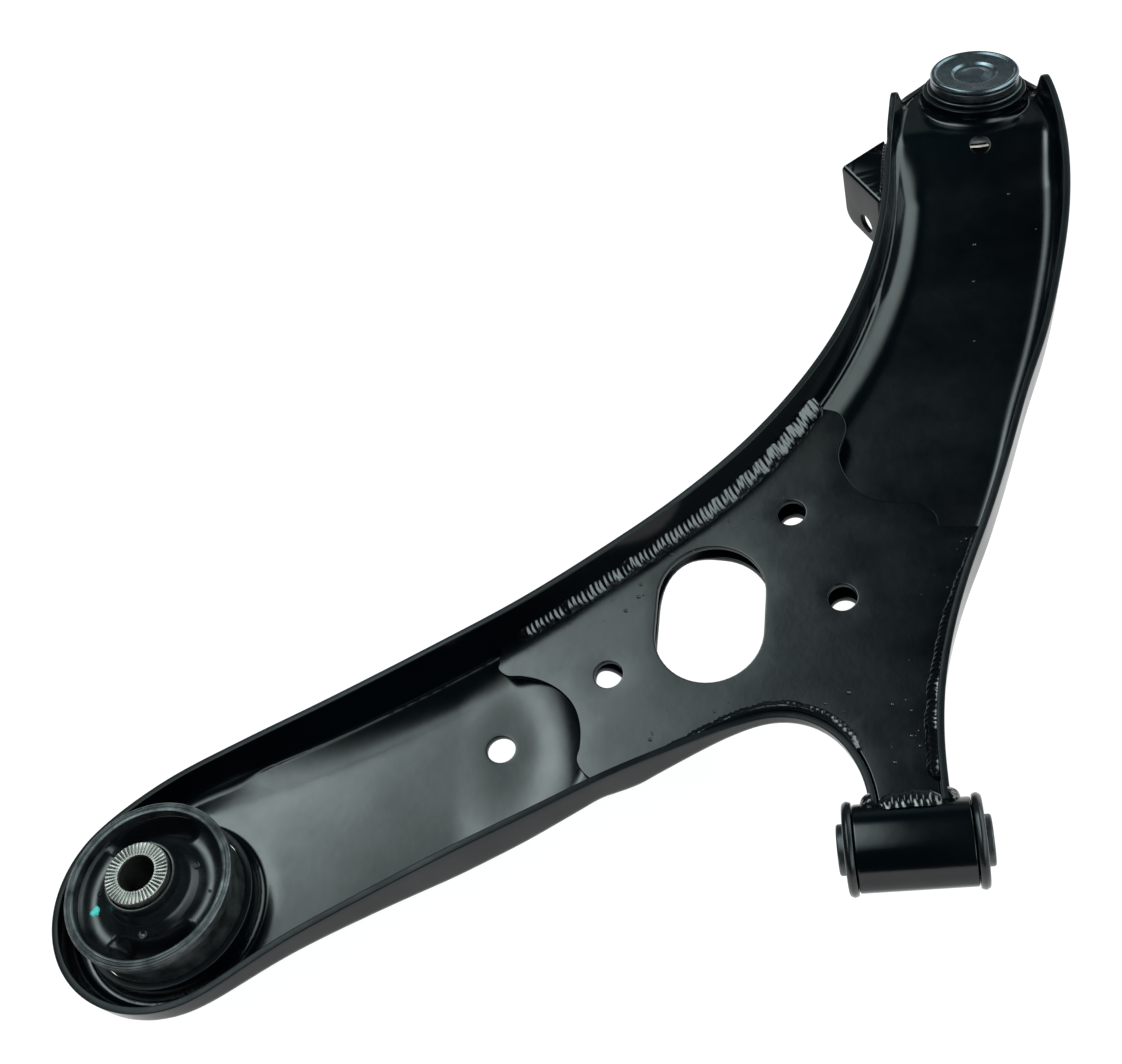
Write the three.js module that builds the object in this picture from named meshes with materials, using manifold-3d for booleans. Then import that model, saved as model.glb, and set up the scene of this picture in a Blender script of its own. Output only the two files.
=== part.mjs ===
// Front lower control arm of a compact car, lying with its open side up.
// Built in millimetres, +Z up. While the parts are made, the working frame's origin is the centre of the rear
// bush's top ring. The last lines move the finished arm so that it stands on z = 0, centred over the origin.
import * as THREE from 'three';
import { mergeVertices } from 'three/addons/utils/BufferGeometryUtils.js';
import Module from 'manifold-3d';

const wasm = await Module();
wasm.setup();

// ---- driving dimensions ------------------------------------------------------------------------------------
const GAP = 0.3;                    // clearance left between touching pieces
const SHEET = 3;                    // thickness of the pressed steel
const OVERCUT = 60;                 // how far a cutting tool runs past what it cuts

const REAR = { ring: 34, sleeve: 33, wall: 1.6, height: 36, collarTop: -16, floor: -26, rim: -12.7 };
const REAR_CORE = { outer: 13, bore: 7.2, top: 13, bottom: -47 };
const REAR_VOIDS = [                // kidney-shaped slots through the rubber, in degrees and mm
  { from: 63, to: 143, inner: 21, outer: 28.5 },
  { from: -126, to: -31, inner: 19, outer: 27 },
];

const FRONT = { x: 296, y: 7.2, z: -26.4, outer: 16.5, inner: 14.4, length: 43.6 };
const FRONT_CORE = { outer: 9.6, bore: 6.2, length: 57 };
const FRONT_LIP = { outer: 17.9, length: 52 };

const BALL = { x: 364.2, y: 389, z: 15.3, leanX: 0.077, leanY: 0.199 };   // centre of the cap's top, lean of its axis
const HOUSING = { outer: 20.3, cavity: 16.4, top: -2.7, shoulder: -25.2, lip: 11, mouth: 15, bottom: -34 };
const SNAP_GROOVE = { top: -6.6, bottom: -8.9, radius: 18.9, shoulder: 20.9 };
const BOOT_GROOVE = { top: -28.5, bottom: -31.6, radius: 17.2 };
const BALL_SPHERE = { centre: -19, radius: 12 };
const STUD = { neck: 6.3, seat: 9, seatTop: -46, taperTop: -50.5, taperEnd: 7.6, threadTop: -70, thread: 7, tip: -88 };
const BOSS = { floor: -1.2, collar: 24.4, height: 7.3 };

const PLATE = { height: -32.3, slope: 0.11, above: 10.5 };    // top face at y = 0, rise per mm of y, height over floor
const LEDGE = { width: 3.5, side: 12.5, drop: SHEET + GAP };   // step along the foot of the front wall
const TROUGH_END = { x: 138, y: 68, foot: 11, top: 26, land: 31, far: 44 };   // round end of the rear trough
const DEEPENS = { from: 42, over: 155 };                       // how the trough falls away from the rear bush
const FLOOR_STEP = 11;              // spacing of the floor's grid
const WALL_POINTS = 105;            // stations along the wall

const HOLE = 6;                     // radius of the round holes
const OVAL = { x: 222.6, y: 114.8, radius: 23, straight: 17, turn: -6 };
const ROUND_HOLES = [[259.6, 158.4], [277.7, 115.9], [178.9, 91.1]];
const REAR_DRAIN = [131.5, 65.7];
const BALL_DRAIN = { x: 361.6, y: 349, radius: 4.5 };

// The wall's outer face, clockwise from the neck's rear side: x, y and the height of the rim.
const REAR_WALL = [
  [281, 8, -28], [280, 33, -28], [277, 44, -27.5], [270, 56, -27], [260, 63.5, -26], [247, 66.5, -25.5],
  [232, 63.5, -24.5], [206, 52, -19.5], [180, 38.5, -13], [154, 24.8, -9.6], [120, 8.8, -8.2], [88, -5.4, -10],
  [55, -21.7, -11],
];
const REAR_END = { x: -0.7, y: 0.8, radius: 47.8, from: -66, to: -232 };   // arc round the rear bush, in degrees
const FRONT_WALL = [
  [-6.6, 53.6, -10.5], [27.5, 67.6, -7], [61.5, 80.6, -4], [106.5, 100.7, -2], [144.4, 119.1, -0.8],
  [179.4, 139.6, 0.5], [211.3, 159.5, 3], [242.2, 182.9, 6.5], [267, 209.7, 8.5], [285.9, 237.5, 9.7],
  [298.8, 264.5, 10.6], [307.8, 290.4, 11.7], [313.8, 318.2, 13], [317.7, 348.1, 14], [321.6, 372.2, 15],
  [323.9, 384.5, 15.5], [326, 387.5, 7], [328.8, 391, 0.3], [331.8, 396.6, -0.2],
];
const TIP_ARC = { x: 363, y: 387, radius: 29.5, from: 150, to: 20 };
const OUTER_WALL = [
  [393.5, 392.5, -3.8], [395.3, 389, -3], [396.3, 385, 6], [396.9, 381.5, 13.5], [397.5, 377.5, 15.5],
  [399.5, 362, 14.8], [399.3, 331, 13.7], [394.5, 294, 12], [386, 259, 10], [375, 224, 8], [363, 195, 6],
  [351, 163, 3], [340, 136, 0], [329.5, 114, -5], [321, 93, -10.5], [314.5, 70, -16], [311.5, 48, -20],
  [311, 27, -22], [311, 8, -23],
];

// ---- materials ---------------------------------------------------------------------------------------------
const finish = (color, roughness, metalness) => () =>
  new THREE.MeshStandardMaterial({ color, roughness, metalness });
const blackPaint = finish(0x14181a, 0.32, 0.25);
const weldPaint = finish(0x0e1012, 0.2, 0.35);
const rubber = finish(0x161719, 0.6, 0);
const bareSteel = finish(0xb9b8b2, 0.35, 0.9);
const darkSteel = finish(0x3d454a, 0.35, 0.8);
const nylon = finish(0xd9d6cc, 0.5, 0);

// ---- solid helpers -----------------------------------------------------------------------------------------
function toSolid(geometry) {
  const bare = geometry.clone();
  bare.deleteAttribute('normal');
  bare.deleteAttribute('uv');
  const merged = mergeVertices(bare, 1e-4);
  return new wasm.Manifold(new wasm.Mesh({
    numProp: 3,
    vertProperties: new Float32Array(merged.attributes.position.array),
    triVerts: new Uint32Array(merged.index.array),
  }));
}

function toGeometry(solid) {
  const mesh = solid.getMesh();
  const geometry = new THREE.BufferGeometry();
  geometry.setAttribute('position', new THREE.BufferAttribute(new Float32Array(mesh.vertProperties), 3));
  geometry.setIndex(new THREE.BufferAttribute(new Uint32Array(mesh.triVerts), 1));
  return geometry;
}

function indexed(points, faces) {
  const geometry = new THREE.BufferGeometry();
  geometry.setAttribute('position', new THREE.BufferAttribute(new Float32Array(points.flat()), 3));
  geometry.setIndex(faces.flat());
  return geometry;
}

// A solid of revolution about +Z from a closed list of [radius, height] points.
function turned(profile, segments = 32) {
  const points = profile.map(([r, h]) => new THREE.Vector2(r, h));
  if (THREE.ShapeUtils.isClockWise(points)) points.reverse();
  if (points[0].x > 0) points.push(points[0].clone());
  const geometry = new THREE.LatheGeometry(points, segments);
  geometry.rotateX(Math.PI / 2);
  return geometry;
}

// A round bar or cutter about +Z.
function bar(radius, bottom, top, segments = 32) {
  const geometry = new THREE.CylinderGeometry(radius, radius, top - bottom, segments);
  geometry.rotateX(Math.PI / 2);
  geometry.translate(0, 0, (top + bottom) / 2);
  return geometry;
}

function ring(inner, outer, bottom, top, segments = 32) {
  return turned([[inner, bottom], [outer, bottom], [outer, top], [inner, top]], segments);
}

// A flat outline pushed up from bottom to top.
function slab(points, bottom, top) {
  const shape = new THREE.Shape(points.map(([x, y]) => new THREE.Vector2(x, y)));
  const geometry = new THREE.ExtrudeGeometry(shape, { depth: top - bottom, bevelEnabled: false });
  geometry.translate(0, 0, bottom);
  return geometry;
}

function arc(x, y, radius, from, to, steps) {
  return Array.from({ length: steps + 1 }, (_, i) => {
    const angle = THREE.MathUtils.degToRad(from + (to - from) * i / steps);
    return [x + radius * Math.cos(angle), y + radius * Math.sin(angle)];
  });
}

const mix = (a, b, t) => a + (b - a) * t;
const ease = THREE.MathUtils.smoothstep;

// ---- the wall's path and the floor's height ----------------------------------------------------------------
const bossTop = (x, y) => BOSS.floor - BALL.leanX * (x - BALL.x) - BALL.leanY * (y - BALL.y);
const along = (end, steps) => arc(end.x, end.y, end.radius, end.from, end.to, steps);
const rearEnd = along(REAR_END, 9).map(([x, y]) => [x, y, REAR.rim]);
const tipEnd = along(TIP_ARC, 7).map(([x, y]) => [x, y, bossTop(x, y) + GAP]);
const wallCurve = new THREE.CatmullRomCurve3(
  [...REAR_WALL, ...rearEnd, ...FRONT_WALL, ...tipEnd, ...OUTER_WALL].map((p) => new THREE.Vector3(...p)),
  false,
  'centripetal',
);
wallCurve.arcLengthDivisions = 1200;
const wallPath = wallCurve.getSpacedPoints(WALL_POINTS);

// Unit directions in plan, pointing from the wall into the arm.
const wallInward = wallPath.map((p, i) => {
  const before = wallPath[Math.max(i - 1, 0)];
  const after = wallPath[Math.min(i + 1, WALL_POINTS)];
  const along = new THREE.Vector2(after.x - before.x, after.y - before.y).normalize();
  return new THREE.Vector2(along.y, -along.x);
});
const inset = (distance) => wallPath.map((p, i) => [
  p.x + wallInward[i].x * distance,
  p.y + wallInward[i].y * distance,
]);

// A step runs along the foot of the front wall only; elsewhere the walls go straight down to the trough.
const steppedWall = wallPath.filter((p) => p.x < 320 && p.y > 52 + 0.3 * p.x);
function distanceToStep(x, y) {
  return Math.min(...steppedWall.map((p) => Math.hypot(p.x - x, p.y - y)));
}

const plateTop = (y) => PLATE.height + PLATE.slope * y;

// Height of the floor's upper face: flat round the rear bush, a trough along each arm, level under the plate.
function floorTop(x, y) {
  const deep = plateTop(y) - PLATE.above;
  const shelf = mix(REAR.floor, plateTop(y) - LEDGE.drop, ease(x, 90, 150));
  const sunk = THREE.MathUtils.clamp((Math.hypot(x, y) - DEEPENS.from) / DEEPENS.over, 0, 1);
  const inside = ease(distanceToStep(x, y), SHEET + LEDGE.width, SHEET + LEDGE.side);
  const reach = Math.hypot(x - TROUGH_END.x, y - TROUGH_END.y);
  const land = ease(reach, TROUGH_END.foot, TROUGH_END.top) * (1 - ease(reach, TROUGH_END.land, TROUGH_END.far));
  const level = inside * (1 - land * ease(x, 125, 145));
  const trough = mix(shelf, mix(REAR.floor, deep, sunk), level);
  return mix(trough, bossTop(x, y), ease(y, 325, 362));
}

// ---- main pressing: floor, walls, rear collar and ball joint collar ----------------------------------------
function floorSlab() {
  const low = { x: -54, y: -54 };
  const across = Math.ceil(460 / FLOOR_STEP);
  const up = Math.ceil(486 / FLOOR_STEP);
  const points = [];
  for (const thickness of [0, SHEET]) {
    for (let j = 0; j <= up; j += 1) {
      for (let i = 0; i <= across; i += 1) {
        const x = low.x + i * FLOOR_STEP;
        const y = low.y + j * FLOOR_STEP;
        points.push([x, y, floorTop(x, y) - thickness]);
      }
    }
  }
  const row = across + 1;
  const layer = row * (up + 1);
  const faces = [];
  for (let j = 0; j < up; j += 1) {
    for (let i = 0; i < across; i += 1) {
      const a = j * row + i;
      faces.push([a, a + 1, a + row + 1], [a, a + row + 1, a + row]);
      faces.push([a + layer, a + layer + row + 1, a + layer + 1], [a + layer, a + layer + row, a + layer + row + 1]);
    }
  }
  const side = (a, b) => faces.push([a, a + layer, b], [b, a + layer, b + layer]);
  for (let i = 0; i < across; i += 1) {
    side(i, i + 1);
    side(up * row + i + 1, up * row + i);
  }
  for (let j = 0; j < up; j += 1) {
    side((j + 1) * row, j * row);
    side(j * row + across, (j + 1) * row + across);
  }
  return toSolid(indexed(points, faces));
}

function wallStrip() {
  const inner = inset(SHEET);
  const points = wallPath.flatMap((p, i) => {
    const foot = floorTop(p.x, p.y) - SHEET;
    const [x, y] = inner[i];
    return [[p.x, p.y, foot], [p.x, p.y, p.z], [x, y, p.z], [x, y, foot]];
  });
  const faces = [];
  for (let i = 0; i < WALL_POINTS; i += 1) {
    for (let k = 0; k < 4; k += 1) {
      const a = i * 4 + k;
      const b = i * 4 + (k + 1) % 4;
      faces.push([a, b, a + 4], [b, b + 4, a + 4]);
    }
  }
  const last = WALL_POINTS * 4;
  faces.push([0, 2, 1], [0, 3, 2], [last, last + 1, last + 2], [last, last + 2, last + 3]);
  return toSolid(indexed(points, faces));
}

// Turns and moves geometry from the ball joint's own axis to its place in the arm.
const ballTurn = new THREE.Quaternion().setFromUnitVectors(
  new THREE.Vector3(0, 0, 1),
  new THREE.Vector3(BALL.leanX, BALL.leanY, 1).normalize(),
);
const onBallAxis = (geometry) => geometry.applyQuaternion(ballTurn).translate(BALL.x, BALL.y, BALL.z);
const tubeAxis = (geometry) => geometry.rotateY(Math.PI / 2).translate(FRONT.x, FRONT.y, FRONT.z);
const drill = ([x, y], radius = HOLE) => toSolid(bar(radius, -OVERCUT, OVERCUT, 18).translate(x, y, 0));

function ovalOutline(grow) {
  const { radius, straight } = OVAL;
  const ends = [
    ...arc(0, straight / 2, radius + grow, 0, 180, 11),
    ...arc(0, -straight / 2, radius + grow, 180, 360, 11),
  ];
  const turn = THREE.MathUtils.degToRad(OVAL.turn);
  return ends.map(([x, y]) => [
    OVAL.x + x * Math.cos(turn) - y * Math.sin(turn),
    OVAL.y + x * Math.sin(turn) + y * Math.cos(turn),
  ]);
}

function mainChannel() {
  const bossLow = BOSS.floor - BALL.z;
  let body = floorSlab().intersect(toSolid(slab(inset(SHEET / 2), -OVERCUT, OVERCUT)));
  body = body.add(wallStrip());
  body = body.add(toSolid(bar(REAR.sleeve + GAP + SHEET, REAR.floor - SHEET, REAR.collarTop, 48)));
  body = body.add(toSolid(onBallAxis(bar(BOSS.collar, bossLow - SHEET, bossLow + BOSS.height, 36))));
  const cutters = [
    toSolid(bar(REAR.sleeve + GAP, -OVERCUT, OVERCUT, 48)),
    toSolid(onBallAxis(bar(HOUSING.outer + GAP, -OVERCUT, OVERCUT, 36))),
    toSolid(tubeAxis(bar(FRONT.outer + GAP, -OVERCUT, OVERCUT, 36))),
    toSolid(slab(ovalOutline(1), -OVERCUT, OVERCUT)),
    drill(REAR_DRAIN),
    drill([BALL_DRAIN.x, BALL_DRAIN.y], BALL_DRAIN.radius),
    ...ROUND_HOLES.map((place) => drill(place)),
  ];
  cutters.forEach((cutter) => {
    body = body.subtract(cutter);
  });
  return body;
}

// ---- closing plate -----------------------------------------------------------------------------------------
// Its long edges follow the walls, its two ends are hollowed where the troughs run in.
function plateOutline() {
  const edge = inset(SHEET + 2 * GAP);
  const lower = edge.filter(([x, y]) => y < 74 && x > 170 && x < 285 && y > 24);
  const right = edge.filter(([x, y]) => x > 296 && y > 24 && y < 142);
  const upper = edge.filter(([x, y]) => x > 131 && x < 275 && y > 100 && y < 208);
  return [
    ...lower.reverse(),
    ...right.reverse(),
    [320, 150], [315, 156.5], [297, 158.5], [289.5, 162.5], [283.5, 172], [280.5, 184], [284.5, 199],
    ...upper.reverse(),
    [130.5, 101], [134.5, 94.8], [146, 93], ...arc(145, 70, 23, 68, -28, 6), [165.7, 54],
  ];
}

function closingPlate() {
  const tilt = Math.atan(PLATE.slope);
  const thickness = SHEET / Math.cos(tilt);
  const sheared = slab(plateOutline(), -thickness, 0);
  const position = sheared.attributes.position;
  for (let i = 0; i < position.count; i += 1) {
    position.setZ(i, position.getZ(i) + plateTop(position.getY(i)));
  }
  let body = toSolid(sheared).subtract(toSolid(slab(ovalOutline(0), -OVERCUT, OVERCUT)));
  ROUND_HOLES.forEach((place) => {
    body = body.subtract(drill(place));
  });
  return body.subtract(toSolid(tubeAxis(bar(FRONT.outer + GAP, -OVERCUT, OVERCUT, 36))));
}

// ---- side bracket ------------------------------------------------------------------------------------------
const BRACKET = { fold: [[296.3, 346.9], [311.2, 319]], top: 5, sheet: 2.5, drop: 33, hole: 4.75, at: [18.5, -24] };

function sideBracket() {
  const [start, end] = BRACKET.fold;
  const flat = slab([start, end, [313.4, 321], [315.8, 340], [317.9, 356], [317.7, 361]], -BRACKET.sheet, 0);
  const width = Math.hypot(end[0] - start[0], end[1] - start[1]);
  const face = new THREE.Shape();
  face.moveTo(0, 0);
  face.lineTo(0, 6 - BRACKET.drop);
  face.absarc(6, 6 - BRACKET.drop, 6, Math.PI, Math.PI * 1.5);
  face.lineTo(width - 6, -BRACKET.drop);
  face.absarc(width - 6, 6 - BRACKET.drop, 6, Math.PI * 1.5, Math.PI * 2);
  face.lineTo(width, 0);
  face.holes.push(new THREE.Path().absarc(...BRACKET.at, BRACKET.hole, 0, Math.PI * 2, true));
  const upright = new THREE.ExtrudeGeometry(face, { depth: BRACKET.sheet, bevelEnabled: false, curveSegments: 8 });
  const along = new THREE.Vector3((end[0] - start[0]) / width, (end[1] - start[1]) / width, 0);
  const up = new THREE.Vector3(0, 0, 1);
  const frame = new THREE.Matrix4().makeBasis(along, up, new THREE.Vector3().crossVectors(along, up));
  upright.applyMatrix4(frame.setPosition(start[0], start[1], 0));
  // Push the upright back so that its outer face lies on the fold line.
  const back = new THREE.Vector3().crossVectors(up, along).multiplyScalar(BRACKET.sheet);
  upright.translate(back.x, back.y, 0);
  return toSolid(flat).add(toSolid(upright)).translate([0, 0, BRACKET.top]);
}

// ---- weld beads --------------------------------------------------------------------------------------------
function bead(points, radius) {
  const corner = (i) => {
    const angle = (i + 0.5) * Math.PI / 4;
    return new THREE.Vector2(radius * Math.cos(angle), radius * Math.sin(angle));
  };
  const section = new THREE.Shape(Array.from({ length: 8 }, (_, i) => corner(i)));
  const path = new THREE.CatmullRomCurve3(points.map((p) => new THREE.Vector3(...p)));
  const steps = Math.max(4, Math.round(path.getLength() / 9));
  return new THREE.ExtrudeGeometry(section, { steps, extrudePath: path, bevelEnabled: false });
}

const BEAD = { plate: 2, neck: 1.7, bracket: 1.3 };

// A bead lying in the corner between the closing plate and the foot of a wall.
function plateBead(keep) {
  const away = BEAD.plate + GAP;
  const line = inset(SHEET + away + GAP / 2).filter(keep);
  return bead(line.map(([x, y]) => [x, y, plateTop(y) + away + GAP / 2]), BEAD.plate);
}

function neckBead(x) {
  const reach = FRONT.outer + BEAD.neck + GAP;
  const line = arc(FRONT.y, FRONT.z, reach, -14, -76, 6);
  return bead(line.map(([y, z]) => [x, y, z]), BEAD.neck);
}

// ---- bushes ------------------------------------------------------------------------------------------------
function rearRubber() {
  const body = toSolid(turned([
    [13.3, -36], [15.8, -34], [18, -29], [28.5, -29], [31.1, -33], [31.1, -3.5], [28.5, -8], [20, -8], [16.8, -1],
    [15.6, 6], [13.3, 6],
  ]));
  const slot = (from, to, inner, outer) => toSolid(slab(
    [...arc(0, 0, outer, from, to, 10), ...arc(0, 0, inner, to, from, 8)],
    -OVERCUT,
    OVERCUT,
  ));
  return REAR_VOIDS.reduce((rest, v) => rest.subtract(slot(v.from, v.to, v.inner, v.outer)), body);
}

const frontRubber = () => {
  const half = FRONT_LIP.length / 2;
  const side = FRONT.length / 2 + GAP;
  const core = FRONT_CORE.outer + GAP;
  const skin = FRONT.inner - 1.8;
  const lip = FRONT_LIP.outer;
  return turned([
    [core, -half], [lip - 1.5, -half], [lip, 1.5 - half], [lip, -side], [skin, -side],
    [skin, side], [lip, side], [lip, half - 1.5], [lip - 1.5, half], [core, half],
  ]);
};

// ---- ball joint --------------------------------------------------------------------------------------------
// Points on the ball's outline, from one angle above the equator to another, in steps.
function sphereOutline(radius, from, to, steps) {
  return arc(0, BALL_SPHERE.centre, radius, from, to, steps);
}

function housing() {
  const h = HOUSING;
  return turned([
    [h.cavity, h.top], [h.cavity, h.shoulder], [h.lip, h.shoulder], [h.mouth, h.bottom], [h.outer - 1.6, h.bottom],
    [h.outer - 1.6, BOOT_GROOVE.bottom], [BOOT_GROOVE.radius, BOOT_GROOVE.bottom],
    [BOOT_GROOVE.radius, BOOT_GROOVE.top], [h.outer, BOOT_GROOVE.top], [h.outer, SNAP_GROOVE.bottom],
    [SNAP_GROOVE.radius, SNAP_GROOVE.bottom], [SNAP_GROOVE.radius, SNAP_GROOVE.top],
    [SNAP_GROOVE.shoulder, SNAP_GROOVE.top], [SNAP_GROOVE.shoulder, h.top],
  ]);
}

function cap() {
  const plug = HOUSING.cavity - GAP;
  return turned([
    [0, -4.2], [plug, -4.2], [plug, -2.4], [21, -2.4], [21, -0.9], [20.2, 0], [18.4, 0], [16.4, -1.3], [9.5, -1.3],
    [8.5, -2], [0, -2],
  ]);
}

function seat() {
  const skin = HOUSING.cavity - GAP;
  return turned([
    [skin, -6], [skin, HOUSING.shoulder + GAP],
    ...sphereOutline(BALL_SPHERE.radius + GAP, -28.2, 64, 10), [5.4, -6],
  ]);
}

function stud() {
  const s = STUD;
  return turned([
    [0, -7.6], ...sphereOutline(BALL_SPHERE.radius, 71.8, -58, 14), [s.neck, s.seatTop + 4], [s.seat, s.seatTop],
    [s.seat, s.taperTop], [s.taperEnd, s.threadTop], [s.thread, s.threadTop - 0.8], [s.thread, s.tip + 1.2],
    [s.thread - 1.2, s.tip], [0, s.tip],
  ], 28);
}

const BOOT = [
  [17.5, -28.8], [17.5, -31.3], [19.1, -31.4], [20.3, -35], [20.4, -38], [18.2, -40.8], [13, -43.2], [9.3, -46.4],
  [9.3, -50.2], [11, -50.2], [11, -47.2], [13.6, -45], [19.4, -42.4], [22.2, -38.2], [22, -34.6], [20.8, -31.1],
  [19.2, -30.9], [19.2, -28.8],
];

// ---- assembly ----------------------------------------------------------------------------------------------
const arm = new THREE.Group();
function part(name, shape, material) {
  const geometry = shape.isBufferGeometry ? shape : toGeometry(shape);
  const shown = geometry.index ? geometry.toNonIndexed() : geometry;
  shown.computeVertexNormals();
  const mesh = new THREE.Mesh(shown, material());
  mesh.name = name;
  arm.add(mesh);
}

part('main_channel', mainChannel(), blackPaint);
part('closing_plate', closingPlate(), blackPaint);
part('side_bracket', sideBracket(), blackPaint);

part('weld_plate_upper', plateBead(([x, y]) => x > 150 && x < 262 && y > 100), weldPaint);
part('weld_plate_lower', plateBead(([x, y]) => x > 190 && x < 276 && y < 76 && y > 46), weldPaint);
part('weld_plate_right', plateBead(([x, y]) => x > 296 && y > 44 && y < 138), weldPaint);
const neckEnd = { y: FRONT.y + FRONT.outer + BEAD.neck + GAP, z: plateTop(FRONT.y + FRONT.outer) + BEAD.neck + 2 * GAP };
part('weld_neck_top', bead([[286, neckEnd.y, neckEnd.z], [305, neckEnd.y, neckEnd.z]], BEAD.neck), weldPaint);
const underTube = FRONT.z - FRONT.outer - BEAD.neck - GAP;
part('weld_neck_under', bead([[285, 5.4, underTube], [306, 5.4, underTube]], BEAD.neck), weldPaint);
part('weld_neck_left', neckBead(281 - BEAD.neck - 3 * GAP), weldPaint);
part('weld_neck_right', neckBead(311 + BEAD.neck + 3 * GAP), weldPaint);
const bracketBead = (z) => bead([[312.9, 329, z], [314, 338, z], [315.6, 352, z]], BEAD.bracket);
part('weld_bracket_top', bracketBead(BRACKET.top + BEAD.bracket + GAP), weldPaint);
part('weld_bracket_bottom', bracketBead(BRACKET.top - BRACKET.sheet - BEAD.bracket - GAP), weldPaint);

const sleeveTop = REAR.ring;
part('rear_bush_outer_sleeve', turned([
  [REAR.sleeve - REAR.wall, -REAR.height], [REAR.sleeve, -REAR.height], [REAR.sleeve, -3], [sleeveTop, -1.6],
  [sleeveTop, 0], [sleeveTop - REAR.wall, 0], [REAR.sleeve - REAR.wall, -2.4],
], 44), darkSteel);
part('rear_bush_rubber', rearRubber(), rubber);
part('rear_bush_inner_sleeve', ring(REAR_CORE.bore, REAR_CORE.outer, REAR_CORE.bottom, REAR_CORE.top), bareSteel);

const tubeHalf = FRONT.length / 2;
part('front_bush_tube', tubeAxis(ring(FRONT.inner, FRONT.outer, -tubeHalf, tubeHalf)), blackPaint);
part('front_bush_outer_sleeve', tubeAxis(ring(FRONT.inner - 1.5, FRONT.inner - GAP, -tubeHalf, tubeHalf)), darkSteel);
part('front_bush_rubber', tubeAxis(frontRubber()), rubber);
const coreHalf = FRONT_CORE.length / 2;
part('front_bush_inner_sleeve', tubeAxis(ring(FRONT_CORE.bore, FRONT_CORE.outer, -coreHalf, coreHalf)), bareSteel);

part('ball_joint_housing', onBallAxis(housing()), darkSteel);
part('ball_joint_cap', onBallAxis(cap()), darkSteel);
part('ball_joint_snap_ring', onBallAxis(ring(19.2, 22.5, -8.6, -6.9)), bareSteel);
part('ball_seat', onBallAxis(seat()), nylon);
part('seat_spring_disc', onBallAxis(ring(5, 15.6, -5.6, -4.6)), bareSteel);
part('ball_stud', onBallAxis(stud()), bareSteel);
part('dust_boot', onBallAxis(turned(BOOT)), rubber);
part('boot_clamp_large', onBallAxis(ring(19.5, 20.7, -30.6, -28.9)), bareSteel);
part('boot_clamp_small', onBallAxis(ring(11.3, 12.3, -49.6, -47.8)), bareSteel);

// Stand the arm on z = 0, centred over the origin.
const box = new THREE.Box3().setFromObject(arm);
const centre = box.getCenter(new THREE.Vector3());
arm.children.forEach((mesh) => mesh.geometry.translate(-centre.x, -centre.y, -box.min.z));

export default arm;
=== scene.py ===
from math import acos, atan2, cos, degrees, pi, radians, sin, sqrt, tan

import bmesh
import bpy
import numpy as np
from mathutils import Matrix, Vector, noise
from mathutils.geometry import delaunay_2d_cdt
from numpy.linalg import norm


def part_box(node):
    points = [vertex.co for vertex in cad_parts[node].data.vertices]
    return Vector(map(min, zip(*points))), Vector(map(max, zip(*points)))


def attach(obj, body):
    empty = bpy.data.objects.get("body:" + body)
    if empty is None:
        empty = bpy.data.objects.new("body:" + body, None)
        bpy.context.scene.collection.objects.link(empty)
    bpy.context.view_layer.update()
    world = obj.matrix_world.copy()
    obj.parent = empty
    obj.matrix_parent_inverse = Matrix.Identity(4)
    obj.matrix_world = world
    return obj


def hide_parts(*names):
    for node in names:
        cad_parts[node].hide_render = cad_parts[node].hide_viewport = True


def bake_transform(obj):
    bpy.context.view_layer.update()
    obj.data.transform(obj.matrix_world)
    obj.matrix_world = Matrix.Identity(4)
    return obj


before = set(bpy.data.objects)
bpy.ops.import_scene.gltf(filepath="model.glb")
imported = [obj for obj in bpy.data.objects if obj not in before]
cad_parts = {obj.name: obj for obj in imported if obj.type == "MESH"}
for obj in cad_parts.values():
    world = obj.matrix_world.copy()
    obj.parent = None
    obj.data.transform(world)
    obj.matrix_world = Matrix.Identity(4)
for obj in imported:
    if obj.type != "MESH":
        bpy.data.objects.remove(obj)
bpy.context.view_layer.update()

# Lengths are millimetres in the arm's own frame. Its origin is the centre of the rear bush's top ring, +Z runs
# up that bush, +X points to the front bush and +Y to the ball joint.
core_low, core_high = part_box("rear_bush_inner_sleeve")
ORIGIN = np.array([(core_low.x + core_high.x) / 2, (core_low.y + core_high.y) / 2, core_high.z - 0.013])
MM = 0.001


# ---- materials
def new_material(name):
    material = bpy.data.materials.new(name)
    material.use_nodes = True
    tree = material.node_tree
    return material, tree, tree.nodes["Principled BSDF"]


def node(tree, kind, **settings):
    made = tree.nodes.new(kind)
    for key, value in settings.items():
        if key in made.inputs:
            made.inputs[key].default_value = value
        else:
            setattr(made, key, value)
    return made


def noise_texture(tree, scale, detail=3.0, roughness=0.5):
    coords = node(tree, "ShaderNodeTexCoord")
    texture = node(tree, "ShaderNodeTexNoise", Scale=scale, Detail=detail, Roughness=roughness)
    tree.links.new(coords.outputs["Object"], texture.inputs["Vector"])
    return texture.outputs["Fac"]


def ramp(tree, factor, stops):
    made = node(tree, "ShaderNodeValToRGB")
    elements = made.color_ramp.elements
    while len(elements) < len(stops):
        elements.new(0.5)
    for element, (position, colour) in zip(elements, stops):
        element.position = position
        element.color = (*colour, 1) if len(colour) == 3 else (colour[0],) * 3 + (1,)
    tree.links.new(factor, made.inputs["Fac"])
    return made.outputs["Color"]


def map_range(tree, factor, low, high, from_low=0.3, from_high=0.7):
    limits = {"From Min": from_low, "From Max": from_high, "To Min": low, "To Max": high}
    made = node(tree, "ShaderNodeMapRange", **limits)
    tree.links.new(factor, made.inputs["Value"])
    return made.outputs["Result"]


def combined(tree, operation, *values):
    """The result of a sum on numbers and other nodes' outputs."""
    made = node(tree, "ShaderNodeMath", operation=operation)
    for slot, value in zip(made.inputs, values):
        if isinstance(value, (int, float)):
            slot.default_value = value
        else:
            tree.links.new(value, slot)
    return made.outputs[0]


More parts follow.
